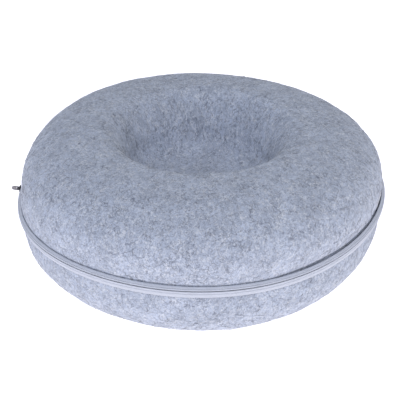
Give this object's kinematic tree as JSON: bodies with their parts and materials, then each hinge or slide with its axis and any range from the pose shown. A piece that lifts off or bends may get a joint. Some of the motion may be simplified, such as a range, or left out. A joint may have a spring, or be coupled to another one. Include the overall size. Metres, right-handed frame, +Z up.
{
  "type": "felt donut cushion",
  "caption": "Round ring cushion of moulded grey felt with a deep hollow in its middle, its upper and lower halves joined by a zip band round the outside.",
  "frame": {"origin": "middle of the bounding box on the surface that the cushion stands on; the ring's own axis is 2.2 mm towards +X of it, because the zip pull stands out at -X", "axes": "+Z up along the ring's axis, -Y towards the front of the picture, -X towards the zip's slider"},
  "size_m": [0.5286, 0.5, 0.1974],
  "materials": {
    "felt": "heathered wool-like felt, matt, with short curly fibres",
    "zip_tape": "fine woven tape, plain",
    "zip_coil": "nylon coil, satin",
    "slider_metal": "dark plated, satin",
    "pull_metal": "pale grey, satin"
  },
  "bodies": {
    "root": {"upper_felt_half": "felt", "lower_felt_half": "felt", "zip_tape_upper": "zip_tape", "zip_tape_lower": "zip_tape", "zip_chain": "zip_coil", "zip_slider": "slider_metal", "zip_pull": "pull_metal"}
  },
  "joints": []
}
